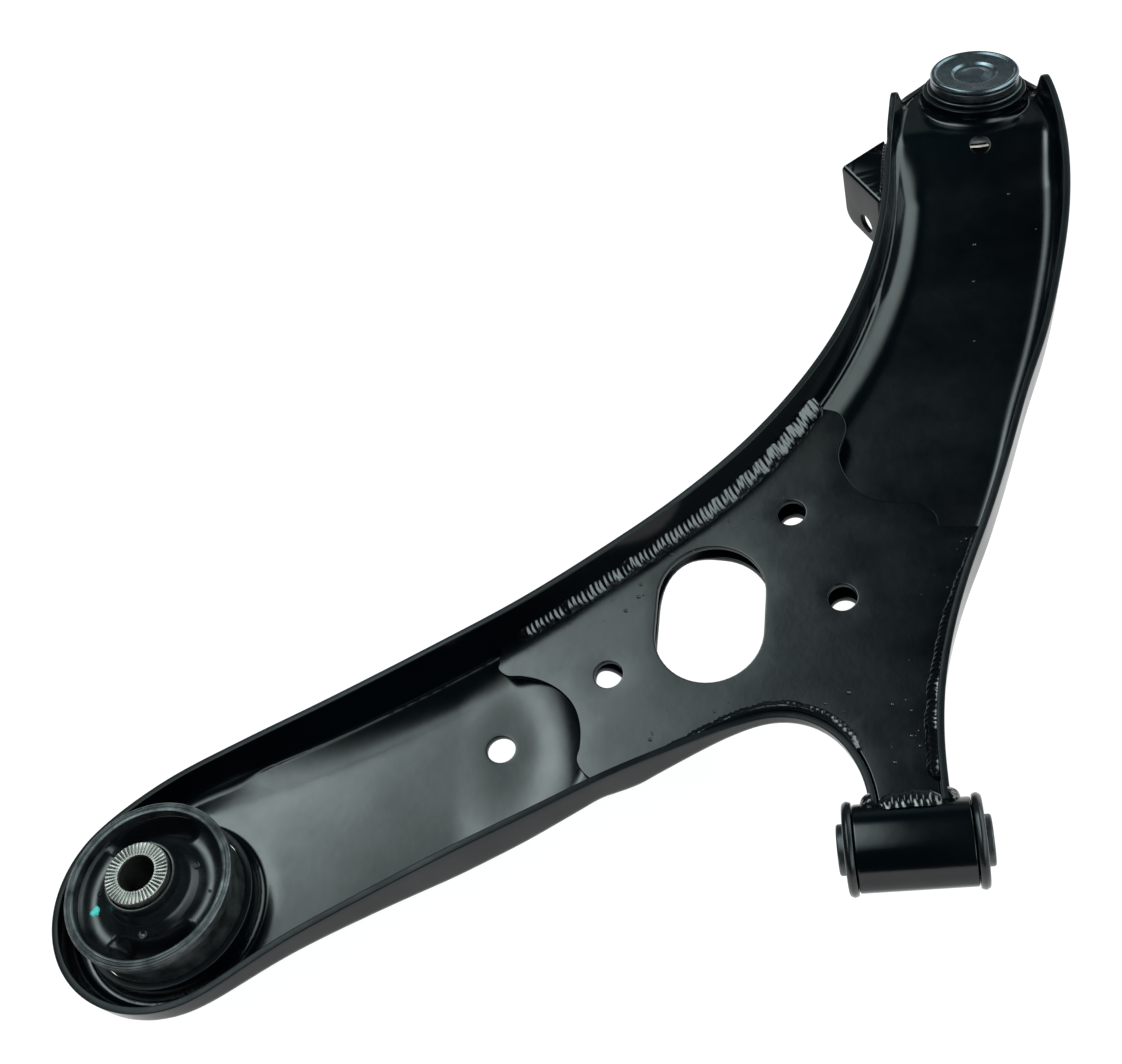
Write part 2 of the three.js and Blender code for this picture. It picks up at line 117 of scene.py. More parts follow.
def bumps(tree, shader, layers):
    """Adds a chain of bump nodes: each layer is (height factor, strength, distance in metres)."""
    last = None
    for factor, strength, distance in layers:
        bump = node(tree, "ShaderNodeBump", Strength=strength, Distance=distance)
        tree.links.new(factor, bump.inputs["Height"])
        if last:
            tree.links.new(last, bump.inputs["Normal"])
        last = bump.outputs["Normal"]
    tree.links.new(last, shader.inputs["Normal"])


def mottled(name, stain, dark, light, grain, roughness, specular, top=0.7):
    """A material whose colour and gloss follow two noises, each given as (scale, detail, roughness)."""
    material, tree, shader = new_material(name)
    tint = ramp(tree, noise_texture(tree, *stain), [(0.35, dark), (top, light)])
    tree.links.new(tint, shader.inputs["Base Color"])
    grain = noise_texture(tree, *grain)
    tree.links.new(map_range(tree, grain, *roughness), shader.inputs["Roughness"])
    shader.inputs["Specular IOR Level"].default_value = specular
    return material, tree, shader, grain


def paint(name, dark, light, roughness, peel=0.05, specular=0.5, side=None):
    """Semi-gloss electrocoat: a smudged dark colour, uneven gloss and a faint orange peel.

    side is the gloss of faces that stand upright, where it differs: it is painted shade, dimming their
    reflections as if the floor beside them lay in shadow.
    """
    material, tree, shader, _ = mottled(
        name, (14, 5, 0.62), dark, light, (30, 6, 0.65), roughness, specular)
    if side is not None:
        # Painted shade: upright faces lose gloss, so their reflections darken as if the floor beside them were
        # shadowed.
        upward = node(tree, "ShaderNodeSeparateXYZ")
        tree.links.new(node(tree, "ShaderNodeNewGeometry").outputs["Normal"], upward.inputs[0])
        gloss = combined(tree, "MULTIPLY", map_range(tree, upward.outputs["Z"], side, specular, 0.0, 0.5),
                         map_range(tree, noise_texture(tree, 34, 6, 0.6), 0.84, 1.12))
        tree.links.new(gloss, shader.inputs["Specular IOR Level"])
    bumps(tree, shader, [
        (noise_texture(tree, 260, 2), peel, 0.0004),
        (noise_texture(tree, 1500, 2), peel * 0.6, 0.00008),
    ])
    return material


def steel(name, dark, light, roughness, metallic=1.0, scale=300):
    material, tree, shader, grain = mottled(
        name, (120, 5, 0.6), dark, light, (scale, 4, 0.6), roughness, 0.5)
    shader.inputs["Metallic"].default_value = metallic
    bumps(tree, shader, [(grain, 0.12, 0.0001)])
    return material


def moulded(name, dark, light, roughness, specular=0.5):
    material, tree, shader, _ = mottled(
        name, (60, 5, 0.6), dark, light, (140, 4, 0.5), roughness, specular, 0.72)
    bumps(tree, shader, [(noise_texture(tree, 900, 3), 0.12, 0.0001)])
    return material


# side=0.1 is painted shade: the upright walls reflect less, as if the floor beside them were in shadow.
E_COAT = paint("e_coat", (0.0003, 0.0012, 0.002), (0.0008, 0.0026, 0.0038), (0.13, 0.22), side=0.1)
SHEARED = paint("sheared_edge", (0.001, 0.002, 0.003), (0.006, 0.009, 0.011), (0.3, 0.5), 0.3, 0.2)
WELD = paint("weld_e_coat", (0.001, 0.0016, 0.002), (0.006, 0.008, 0.009), (0.07, 0.18), 0.4, 1.0)
RUBBER = moulded("bush_rubber", (0.002, 0.003, 0.004), (0.005, 0.007, 0.008), (0.2, 0.32), 0.45)
SERRATED = steel("serrated_steel", (0.15, 0.15, 0.14), (0.36, 0.35, 0.33), (0.34, 0.5))
# Painted shade: the inner sleeve's bore is coloured near black for the shade inside the hole.
BORE_SHADE = steel("bore_steel_painted_shade", (0.004, 0.004, 0.004), (0.012, 0.012, 0.011), (0.5, 0.7), 0.3)
BARE = steel("bare_steel", (0.42, 0.41, 0.38), (0.72, 0.70, 0.66), (0.3, 0.5))
DARK_STEEL = steel("dark_steel", (0.05, 0.06, 0.065), (0.11, 0.13, 0.14), (0.28, 0.42))
CAP_STEEL = steel("cap_steel", (0.10, 0.13, 0.15), (0.18, 0.22, 0.25), (0.2, 0.3), 0.9)
SLEEVE = steel("sleeve_steel", (0.03, 0.035, 0.037), (0.15, 0.16, 0.165), (0.3, 0.5), 0.85, 700)
HOUSING_STEEL = steel("housing_steel", (0.05, 0.055, 0.06), (0.16, 0.18, 0.19), (0.26, 0.4), 0.9)
DULL = steel("dull_steel", (0.05, 0.055, 0.06), (0.14, 0.15, 0.15), (0.35, 0.5), 0.9)
TEAL = moulded("teal_mark", (0.01, 0.36, 0.33), (0.03, 0.52, 0.47), (0.3, 0.45))
SEAT = moulded("seat_plastic", (0.62, 0.6, 0.55), (0.72, 0.7, 0.65), (0.35, 0.5))


# ---- mesh tools
def add_object(name, data):
    made = bpy.data.objects.new(name, data)
    bpy.context.scene.collection.objects.link(made)
    return made


def raw_mesh(name, points, faces):
    """A mesh object from points in millimetres in the arm's frame, with its faces out."""
    coords = np.asarray(points, float) * MM + ORIGIN
    mesh = bpy.data.meshes.new(name)
    mesh.from_pydata(coords.tolist(), [], [tuple(int(i) for i in f) for f in faces])
    mesh.validate()
    edit = bmesh.new()
    edit.from_mesh(mesh)
    bmesh.ops.recalc_face_normals(edit, faces=edit.faces)
    edit.to_mesh(mesh)
    edit.free()
    return add_object(name, mesh)


def turned(rows, size, closed=True):
    """Quads between following rows of size points, where each row is a list of point numbers."""
    last = size if closed else size - 1
    return [(a[k], a[(k + 1) % size], b[(k + 1) % size], b[k])
            for a, b in zip(rows, rows[1:]) for k in range(last)]


def numbered(first, count, size):
    """Point numbers of count rows of size points that follow one another."""
    return [list(range(first + i * size, first + (i + 1) * size)) for i in range(count)]


def without_repeats(quads):
    """Quads whose repeated corners are dropped, and without those that have no area left."""
    loops = [list(dict.fromkeys(quad)) for quad in quads]
    return [loop for loop in loops if len(loop) > 2]


def shade(piece, sharp):
    """Smooth shading, with edges sharper than the angle kept as edges."""
    mesh = piece.data
    mesh.polygons.foreach_set("use_smooth", [True] * len(mesh.polygons))
    edit = bmesh.new()
    edit.from_mesh(mesh)
    for edge in edit.edges:
        edge.smooth = not (len(edge.link_faces) == 2 and edge.calc_face_angle(0) > radians(sharp))
    edit.to_mesh(mesh)
    edit.free()
    return piece


def sheet_metal(name, points, faces, thickness, edge=0.6):
    """Thickens an open skin downwards and rounds its free edges. Sheared edges take their own finish."""
    skin = raw_mesh(name, points, faces)
    if sum(p.normal.z * p.area for p in skin.data.polygons) < 0:
        skin.data.flip_normals()
    work = bmesh.new()
    work.from_mesh(skin.data)
    work.normal_update()
    bpy.data.objects.remove(skin)
    top = np.array([v.co for v in work.verts]) / MM
    normals = np.array([v.normal for v in work.verts])
    outward = {}
    for border in work.edges:
        if len(border.link_faces) != 1:
            continue
        loop = border.link_loops[0]
        a, b = loop.vert, loop.link_loop_next.vert
        away = (b.co - a.co).normalized().cross(loop.face.normal)
        outward.setdefault(a.index, [None, Vector()])
        outward.setdefault(b.index, [None, Vector()])
        outward[a.index][0] = b.index
        outward[a.index][1] += away
        outward[b.index][1] += away
    bottom = top - normals * thickness
    count = len(top)
    everything = [*top, *bottom]
    shell = [tuple(v.index for v in f.verts) for f in work.faces]
    shell += [tuple(v.index + count for v in reversed(f.verts)) for f in work.faces]
    work.free()

    # The edge's section is a flattened half circle: it leaves each face smoothly.
    turns = np.radians((12, 33, 62, 90, 118, 147, 168))
    flat = 0.45
    across_out = [(np.copysign(abs(cos(t)) ** flat, cos(t)), sin(t) ** flat) for t in turns]
    section = [((1 - across) / 2, out) for across, out in across_out]
    rows = {}
    for i, (_, away) in outward.items():
        away = np.array(away.normalized())
        rows[i] = [i]
        for across, out in section:
            rows[i].append(len(everything))
            everything.append(top[i] + (bottom[i] - top[i]) * across + away * edge * out)
        rows[i].append(i + count)
    finishes = [0] * len(shell)
    for i, (ahead, _) in outward.items():
        if ahead is None:
            continue
        for k in range(len(section) + 1):
            shell.append((rows[i][k + 1], rows[ahead][k + 1], rows[ahead][k], rows[i][k]))
            finishes.append(1 if 2 <= k <= 5 else 0)
    piece = raw_mesh(name, (np.array(everything) * MM - ORIGIN) / MM, shell)
    piece.data.materials.append(E_COAT)
    piece.data.materials.append(SHEARED)
    if len(piece.data.polygons) == len(finishes):
        piece.data.polygons.foreach_set("material_index", finishes)
    return piece


def done(piece, material, body, slot, *replaced):
    if material:
        piece.data.materials.clear()
        piece.data.materials.append(material)
    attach(piece, body)
    if replaced:
        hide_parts(*replaced)


def finish_sheet(piece, node_name):
    done(shade(piece, 48), None, "arm", "black_e_coat", node_name)


def frame_about(centre, axis, hint=(1, 0, 0)):
    """A matrix that carries +Z to an axis through a centre, both in the arm's frame."""
    z = Vector(axis).normalized()
    x = (Vector(hint) - z * Vector(hint).dot(z)).normalized()
    y = z.cross(x)
    matrix = Matrix((x, y, z)).transposed().to_4x4()
    matrix.translation = Vector(centre)
    return np.array(matrix)


def carried(points, matrix):
    points = np.asarray(points, float)
    return points @ matrix[:3, :3].T + matrix[:3, 3]


UPRIGHT = np.eye(4)
FRONT_CENTRE = (296, 7.2, -26.4)
FRONT_AXIS = frame_about(FRONT_CENTRE, (1, 0, 0), (0, 1, 0))
BALL_TOP = np.array([364.2, 389, 15.3])
BALL_LEAN = (0.077, 0.199, 1)
BALL_AXIS = frame_about(BALL_TOP, BALL_LEAN)


def rounded(profile, steps):
    """Rounds the corners of a closed outline of (radius, height, corner radius) points."""
    out = []
    count = len(profile)
    for i, (r, h, size) in enumerate(profile):
        here = np.array([r, h], float)
        if size <= 0:
            out.append(here)
            continue
        back = np.array(profile[i - 1][:2], float) - here
        ahead = np.array(profile[(i + 1) % count][:2], float) - here
        reach_back, reach_ahead = norm(back), norm(ahead)
        back, ahead = back / reach_back, ahead / reach_ahead
        half = acos(max(-1.0, min(1.0, float(back @ ahead)))) / 2
        run = min(size / tan(half), 0.48 * reach_back, 0.48 * reach_ahead)
        start, end = here + back * run, here + ahead * run
        for k in range(steps + 1):
            t = k / steps
            out.append((1 - t) ** 2 * start + 2 * t * (1 - t) * here + t * t * end)
    return out


def revolved(name, outline, matrix, segments, radius_at=lambda r, h, k: r):
    """Turns a closed line of (radius, height) points about +Z and carries it to its place."""
    points, rows = [], []
    for r, h in outline:
        if r < 1e-6:
            rows.append([len(points)] * segments)
            points.append((0, 0, h))
            continue
        rows += numbered(len(points), 1, segments)
        for k in range(segments):
            turn, radius = 2 * pi * k / segments, radius_at(r, h, k)
            points.append((radius * cos(turn), radius * sin(turn), h))
    return raw_mesh(name, carried(points, matrix), without_repeats(turned(rows + rows[:1], segments)))


def lathe(name, profile, matrix, segments=96, steps=4):
    """Turns a closed outline of (radius, height, corner radius) points."""
    return revolved(name, rounded(profile, steps), matrix, segments)


def clear_of_tube(piece):
    """Cuts the room for the front tube out of a sheet."""
    radius, reach = 16.8, 40
    section = [(0, -reach, 0), (radius, -reach, 0), (radius, reach, 0), (0, reach, 0)]
    tool = lathe("tool", section, FRONT_AXIS, 128)
    modifier = piece.modifiers.new("cut", "BOOLEAN")
    modifier.operation = "DIFFERENCE"
    modifier.solver = "EXACT"
    modifier.object = tool
    bpy.context.view_layer.update()
    evaluated = piece.evaluated_get(bpy.context.evaluated_depsgraph_get())
    mesh = bpy.data.meshes.new_from_object(evaluated)
    piece.modifiers.clear()
    piece.data = mesh
    bpy.data.objects.remove(tool)
    return piece


# ---- the pressing's outline
SHEET = 3.0
EDGE = 0.6        # how far a sheet's rounded edge reaches past its skin
REAR_WALL = [
    (281, 8, -28), (280, 33, -28), (277, 44, -27.5), (270, 56, -27), (260, 63.5, -26), (247, 66.5, -25.5),
    (232, 63.5, -24.5), (206, 52, -19.5), (180, 38.5, -13), (154, 24.8, -9.6), (120, 8.8, -8.2),
    (88, -5.4, -10), (55, -21.7, -11),
]
FRONT_WALL = [
    (-6.6, 53.6, -10.5), (27.5, 67.6, -7), (61.5, 80.6, -4), (106.5, 100.7, -2), (144.4, 119.1, -0.8),
    (179.4, 139.6, 0.5), (211.3, 159.5, 3), (242.2, 182.9, 6.5), (267, 209.7, 8.5), (285.9, 237.5, 9.7),
    (298.8, 264.5, 10.6), (307.8, 290.4, 11.7), (313.8, 318.2, 13), (317.7, 348.1, 14), (321.6, 372.2, 15),
    (323.9, 384.5, 15.5), (326, 387.5, 7), (328.8, 391, 0.6), (331.8, 396.6, 0.2),
]
OUTER_WALL = [
    (393.5, 392.5, -3.3), (395.3, 389, -2.4), (396.3, 385, 6), (396.9, 381.5, 13.5), (397.5, 377.5, 15.5),
    (399.5, 362, 14.8), (399.3, 331, 13.7), (394.5, 294, 12), (386, 259, 10), (375, 224, 8), (363, 195, 6),
    (351, 163, 3), (340, 136, 0), (329.5, 114, -5), (321, 93, -10.5), (314.5, 70, -16), (311.5, 48, -20),
    (311, 27, -22), (311, 8, -23),
]


def arc(x, y, radius, start, end, steps):
    turns = np.radians(np.linspace(start, end, steps + 1))
    return [(x + radius * cos(t), y + radius * sin(t)) for t in turns]


def spline(points, per_span=24):
    """A centripetal Catmull-Rom curve through the points."""
    p = np.asarray(points, float)
    p = np.vstack([2 * p[0] - p[1], p, 2 * p[-1] - p[-2]])
    out = []
    for i in range(1, len(p) - 2):
        p0, p1, p2, p3 = p[i - 1:i + 3]
        d0, d1, d2 = (sqrt(norm(b - a)) for a, b in ((p0, p1), (p1, p2), (p2, p3)))
        m1 = ((p1 - p0) / d0 - (p2 - p0) / (d0 + d1) + (p2 - p1) / d1) * d1
        m2 = ((p2 - p1) / d1 - (p3 - p1) / (d1 + d2) + (p3 - p2) / d2) * d1
        for k in range(per_span):
            t = k / per_span
            square, cube = 3 * (p2 - p1) - 2 * m1 - m2, 2 * (p1 - p2) + m1 + m2
            out.append(p1 + m1 * t + square * t ** 2 + cube * t ** 3)
    out.append(p[-2])
    return np.array(out)


def run_length(points):
    """Length along a line up to each of its points."""
    return np.concatenate([[0], np.cumsum(norm(np.diff(points, axis=0), axis=1))])


def along_line(wanted, lengths, values):
    return np.column_stack([np.interp(wanted, lengths, column) for column in values.T])


def resampled(points, step):
    points = np.asarray(points, float)
    lengths = run_length(points)
    wanted = np.linspace(0, lengths[-1], max(2, round(lengths[-1] / step) + 1))
    return along_line(wanted, lengths, points)


def smoothed(values, sigma):
    """Gaussian smoothing along a line of evenly spaced points, which keeps both ends."""
    reach = int(3 * sigma)
    weights = np.exp(-0.5 * (np.arange(-reach, reach + 1) / sigma) ** 2)
    weights /= weights.sum()
    ends = 2 * values[0] - values[reach:0:-1], 2 * values[-1] - values[-2:-reach - 2:-1]
    padded = np.concatenate([ends[0], values, ends[1]])
    return np.convolve(padded, weights, "valid")


def boss_top(x, y):
    """The flat round the ball joint's collar, square to the joint's axis."""
    return -1.2 - BALL_LEAN[0] * (x - BALL_TOP[0]) - BALL_LEAN[1] * (y - BALL_TOP[1])


REAR_END = [(x, y, -12.7) for x, y in arc(-0.7, 0.8, 47.8, -66, -232, 9)]
TIP_END = [(x, y, boss_top(x, y) + 0.8) for x, y in arc(363, 387, 29.5, 150, 20, 7)]
wall = resampled(spline(REAR_WALL + REAR_END + FRONT_WALL + TIP_END + OUTER_WALL), 2.0)
wall[:, 0] = smoothed(wall[:, 0], 2.4)
wall[:, 1] = smoothed(wall[:, 1], 2.4)
wall[:, 2] = smoothed(wall[:, 2], 1.2)
along = np.gradient(wall[:, :2], axis=0)
along /= norm(along, axis=1)[:, None]
inward = np.column_stack([along[:, 1], -along[:, 0]])
PLATE_SLOPE = 0.11        # rise of the closing plate along +Y


def plate_top(y):
    return -32.3 + PLATE_SLOPE * y


def ease(value, low, high):
    t = np.clip((value - low) / (high - low), 0, 1)
    return t * t * (3 - 2 * t)


def nearest_station(points, line):
    """Distance from each plan point to the nearest point of a line, and that point's number."""
    gaps, which = np.empty(len(points)), np.empty(len(points), int)
    for start in range(0, len(points), 2000):
        block = ((points[start:start + 2000, None, :] - line[None, :, :]) ** 2).sum(-1)
        which[start:start + 2000] = block.argmin(1)
        gaps[start:start + 2000] = np.sqrt(block.min(1))
    return gaps, which


def nearest(points, line):
    return nearest_station(points, line)[0]


rim_inner = wall[:, :2] + inward * SHEET
on_front = wall[:, 1] > 52 + 0.3 * wall[:, 0]        # the wall on the side of the step
stepped = wall[(wall[:, 0] < 320) & on_front, :2]


def base_floor(points):
    """Height of the floor's upper face, without the fillets."""
    x, y = points[:, 0], points[:, 1]
    deep = plate_top(y) - 10.5
    to_plate = ease(x, 90, 150)
    shelf = -26 * (1 - to_plate) + (plate_top(y) - SHEET - 0.3) * to_plate
    sunk = np.clip((np.hypot(x, y) - 42) / 155, 0, 1)
    trough = -26 + (deep + 26) * sunk
    # The step falls from a crisp upper edge and eases out into the floor.
    past = np.clip((nearest(points, stepped) - 6.2) / 12, 0, 1)
    inside = past * (2 - past)
    # The rear trough ends in a round slope up to the land that carries the plate's end.
    reach = np.hypot(x - 138, (y - 68) * 0.8)
    land = np.clip((reach - 5) / 27, 0, 1) ** 2 * ease(x, 112, 156)
    land *= 1 - ease(reach, 33, 46) * ease(x, 170, 190)
    trough = shelf + (trough - shelf) * inside * (1 - land)
    return trough + (boss_top(x, y) - trough) * ease(y, 325, 362)


def ball_radius(points):
    """Distance of the boss's plan points from the ball joint's axis."""
    offset = np.column_stack([points, boss_top(points[:, 0], points[:, 1])]) - BALL_TOP
    axis = np.array(BALL_LEAN) / norm(BALL_LEAN)
    return norm(offset - (offset @ axis)[:, None] * axis, axis=1)


def fillet(distance, radius):
    """Height that a fillet adds at a distance from the foot of a wall."""
    inside = np.clip(radius - distance, 0, radius)
    return radius - np.sqrt(radius ** 2 - inside ** 2)


COLLAR_FILLET = 3.0
REAR_COLLAR, BALL_COLLAR = 36.3, 24.4        # inner radii
WALL_LEAN = radians(3.5)
foot_base = base_floor(rim_inner)
rise = wall[:, 2] - foot_base
foot = rim_inner + inward * (np.clip(rise, 0, 40) * tan(WALL_LEAN))[:, None]

# The fillet at the foot of the wall: tight by the plate and the step, wide along the outer arm.
is_outer = (wall[:, 0] > 330) & (wall[:, 1] > 100)
is_stepped = (wall[:, 0] > 20) & (wall[:, 0] < 300) & on_front
wide = np.where(is_outer, 5 + 3 * ease(wall[:, 1], 170, 225) * (1 - ease(wall[:, 1], 330, 372)), 5.0)
wide = np.where(is_stepped, 1.6, wide)
foot_fillet = smoothed(np.minimum(wide, np.clip(rise * 0.8, 0.3, 40)), 2.5)


def floor_height(points, fixed=0):
    """Height of the floor with its fillets. The first points given are the foot of the wall itself."""
    to_foot, station = nearest_station(points, foot)
    to_foot[:fixed] = 0
    height = base_floor(points) + fillet(to_foot, foot_fillet[station])
    height += fillet(np.hypot(points[:, 0], points[:, 1]) - REAR_COLLAR, COLLAR_FILLET)
    return height + fillet(ball_radius(points) - BALL_COLLAR, COLLAR_FILLET)


def oval(grow, steps=28):
    ends = arc(0, 8.5, 23 + grow, 0, 180, steps) + arc(0, -8.5, 23 + grow, 180, 360, steps)
    turn = radians(-6)
    c, s = cos(turn), sin(turn)
    return [(222.6 + x * c - y * s, 114.8 + x * s + y * c) for x, y in ends]


ROUND_HOLES = [(259.6, 158.4, 6), (277.7, 115.9, 6), (178.9, 91.1, 6)]
FLOOR_HOLES = ROUND_HOLES + [(131.5, 65.7, 6), (361.6, 349, 4.5)]


def inside_polygon(points, polygon):
    polygon = np.asarray(polygon)
    x, y = points[:, 0], points[:, 1]
    inside = np.zeros(len(points), bool)
    for (x1, y1), (x2, y2) in zip(polygon, np.roll(polygon, -1, axis=0)):
        crosses = (y1 > y) != (y2 > y)
        with np.errstate(divide="ignore", invalid="ignore"):
            at = (x2 - x1) * (y - y1) / (y2 - y1) + x1
        inside ^= crosses & (x < at)
    return inside


def filled(outlines, extra):
    """Points and triangles that fill the first outline and leave the others open."""
    points, edges = [], []
    for outline in outlines:
        first = len(points)
        points += [tuple(p) for p in outline]
        edges += [(first + k, first + (k + 1) % len(outline)) for k in range(len(outline))]
    points += [tuple(p) for p in extra]
    verts, _, faces, origins, _, _ = delaunay_2d_cdt([Vector(p) for p in points], edges, [], 0, 1e-5)
    coords = np.array([tuple(v) for v in verts])
    faces = np.array([f for f in faces if len(f) == 3])
    middles = coords[faces].mean(axis=1)
    keep = inside_polygon(middles, outlines[0])
    for hole in outlines[1:]:
        keep &= ~inside_polygon(middles, hole)
    return coords, faces[keep]


def circle(x, y, radius, step=1.2):
    return arc(x, y, radius, 0, 360, max(16, round(2 * pi * radius / step)))[:-1]


def ball_circle(grow, height, count=80):
    """Points round the ball joint's axis, on the collar's inner face grown by a distance."""
    turns = np.linspace(0, 2 * pi, count, endpoint=False)
    radius = BALL_COLLAR + grow
    return carried([(radius * cos(t), radius * sin(t), height) for t in turns], BALL_AXIS)


def collar(ring, levels, points, faces):
    """Builds a collar up from a ring of point numbers, through lists of points."""
    rows = [ring]
    for level in levels:
        rows += numbered(len(points), 1, len(ring))
        points += level
    faces += turned(rows, len(ring))


def make_pressing():
    rear_hole = circle(0, 0, REAR_COLLAR, 2.0)
    foot_depth = -16.5 + COLLAR_FILLET
    ball_ring = ball_circle(0, foot_depth)
    outer = [tuple(p) for p in foot]
    holes = [rear_hole, [tuple(p[:2]) for p in ball_ring], oval(1 + EDGE)]
    holes += [circle(x, y, r + EDGE) for x, y, r in FLOOR_HOLES]

    # Rings of points along the fillets, then an even grid in the middle.
    rings = []
    for distance in (0.12, 0.35, 0.7, 1.15, 1.7, 2.3, 3.0, 3.8, 4.7, 5.7, 6.8, 8, 9.4, 11, 12.8, 14.4):
        ring = foot + inward * distance
        rings.append(ring[nearest(ring, foot) > distance * 0.96 - 0.02])
    for distance in (0.12, 0.4, 0.9, 1.6, 2.4, 3.2, 4.4):
        rings.append(np.array(circle(0, 0, REAR_COLLAR + distance, 2.0)))
        rings.append(ball_circle(distance, foot_depth)[:, :2])
    rings += [np.array(hole) for hole in [oval(1 + 2)] + [circle(x, y, r + 1.9) for x, y, r in FLOOR_HOLES]]
    step = 3.0
    grid = np.array([(x + (j % 2) * step / 2, y) for j, y in enumerate(np.arange(-48, 422, step * 0.866))
                     for x in np.arange(-48, 402, step)])
    grid = grid[inside_polygon(grid, outer)]
    grid = grid[nearest(grid, foot) > 15]
    grid = grid[np.hypot(grid[:, 0], grid[:, 1]) > REAR_COLLAR + 6]
    grid = grid[ball_radius(grid) > BALL_COLLAR + 6]
    extra = np.vstack(rings + [grid])
    extra = extra[inside_polygon(extra, outer)]
    keep = (np.hypot(extra[:, 0], extra[:, 1]) > REAR_COLLAR + 0.1) & (ball_radius(extra) > BALL_COLLAR + 0.1)
    keep &= nearest(extra, foot) > 0.09
    for x, y, r in FLOOR_HOLES:
        keep &= np.hypot(extra[:, 0] - x, extra[:, 1] - y) > r + 1.4
    keep &= ~inside_polygon(extra, oval(1 + 1.5))
    # Where rings from two sides cross, one point is kept in each 0.5 mm cell.
    chosen = {}
    for p in extra[keep]:
        chosen.setdefault((round(p[0] / 0.5), round(p[1] / 0.5)), p)
    coords, faces = filled([outer] + holes, chosen.values())
    count = len(foot)
    points = np.column_stack([coords, floor_height(coords, count)]).tolist()
    faces = faces.tolist()

    # The wall rises from the floor's edge to the rim.
    low = np.array(points)[:count, 2]
    high = np.maximum(wall[:, 2] - EDGE, low + 0.2)
    rows = numbered(0, 1, count) + numbered(len(points), 4, count)
    for t in (0.25, 0.5, 0.75, 1.0):
        points += np.column_stack([foot + (rim_inner - foot) * t, low + (high - low) * t]).tolist()
    faces += [(a, d, c, b) for a, b, c, d in turned(rows, count, closed=False)]

    # Two collars stand up around the bush and the ball joint.
    rings = numbered(count, 1, len(rear_hole)) + numbered(count + len(rear_hole), 1, len(ball_ring))
    collar(rings[0], [[(x, y, z) for x, y in rear_hole] for z in (-21.5, -19, -16 - EDGE)], points, faces)
    collar(rings[1], [ball_circle(0, h).tolist() for h in (-12.4, -11, -9.2 - EDGE)], points, faces)
    finish_sheet(clear_of_tube(sheet_metal("arm_pressing", points, faces, SHEET)), "main_channel")


make_pressing()


# ---- closing plate
def stretch(distance, keep):
    """The part of the wall's line, moved into the arm by a distance, whose points pass a test."""
    line = wall[:, :2] + inward * distance
    return line[[keep(x, y) for x, y in line]]


def make_plate():
    edge = SHEET + 0.6 + EDGE
    lower = stretch(edge, lambda x, y: 170 < x < 285 and 24 < y < 76)
    right = stretch(edge, lambda x, y: x > 296 and 24 < y < 142)
    upper = stretch(edge, lambda x, y: 131 < x < 276 and 100 < y < 210)
    far_end = spline([
        (319.5, 144), (318.5, 150.5), (313, 155.5), (297.5, 158.8), (290, 162.9), (284, 172), (281.2, 184),
        (285.6, 199), (283, 205.8), (276.6, 208.8),
    ], 6)
    near_end = spline([
        (132, 101.5), (131.8, 98.6), (135.3, 95.4), (142, 94.4), (150.5, 91.6), (158.8, 86), (164.6, 78.4),
        (167.2, 69), (167, 60), (165.8, 54.5), (168.2, 49.5), (172.5, 45.5),
    ], 6)
    outline = np.vstack([lower[::-1], [(287, 23), (305, 23)], right[::-1], far_end, upper[::-1], near_end])
    keep = np.ones(len(outline), bool)
    for i in range(1, len(outline)):
        keep[i] = norm(outline[i] - outline[i - 1]) > 0.4
    outline = [tuple(p) for p in outline[keep]]
    holes = [oval(EDGE)] + [circle(x, y, r + EDGE) for x, y, r in ROUND_HOLES]
    grid = np.array([(x, y) for x in np.arange(130, 330, 8.0) for y in np.arange(24, 208, 8.0)])
    grid = grid[inside_polygon(grid, outline) & (nearest(grid, np.array(outline)) > 4)]
    for hole in holes:
        grid = grid[nearest(grid, np.array(hole)) > 4]
        grid = grid[~inside_polygon(grid, hole)]
    coords, faces = filled([outline] + holes, grid)
    # The thin plate is a little uneven, pulled by its welds.
    heights = plate_top(coords[:, 1]) + 0.12 * np.sin(coords[:, 0] / 19) * np.cos(coords[:, 1] / 23)
    piece = sheet_metal("closing_sheet", np.column_stack([coords, heights]), faces, SHEET)
    finish_sheet(clear_of_tube(piece), "closing_plate")


make_plate()


# ---- welds
def wobble(value, scale, seed):
    return noise.noise(Vector((value / scale, seed * 7.3, seed * 1.7)))


ROOT = 0.35               # how far a bead sinks into the faces that it joins
RIPPLE_PITCH = 2.3


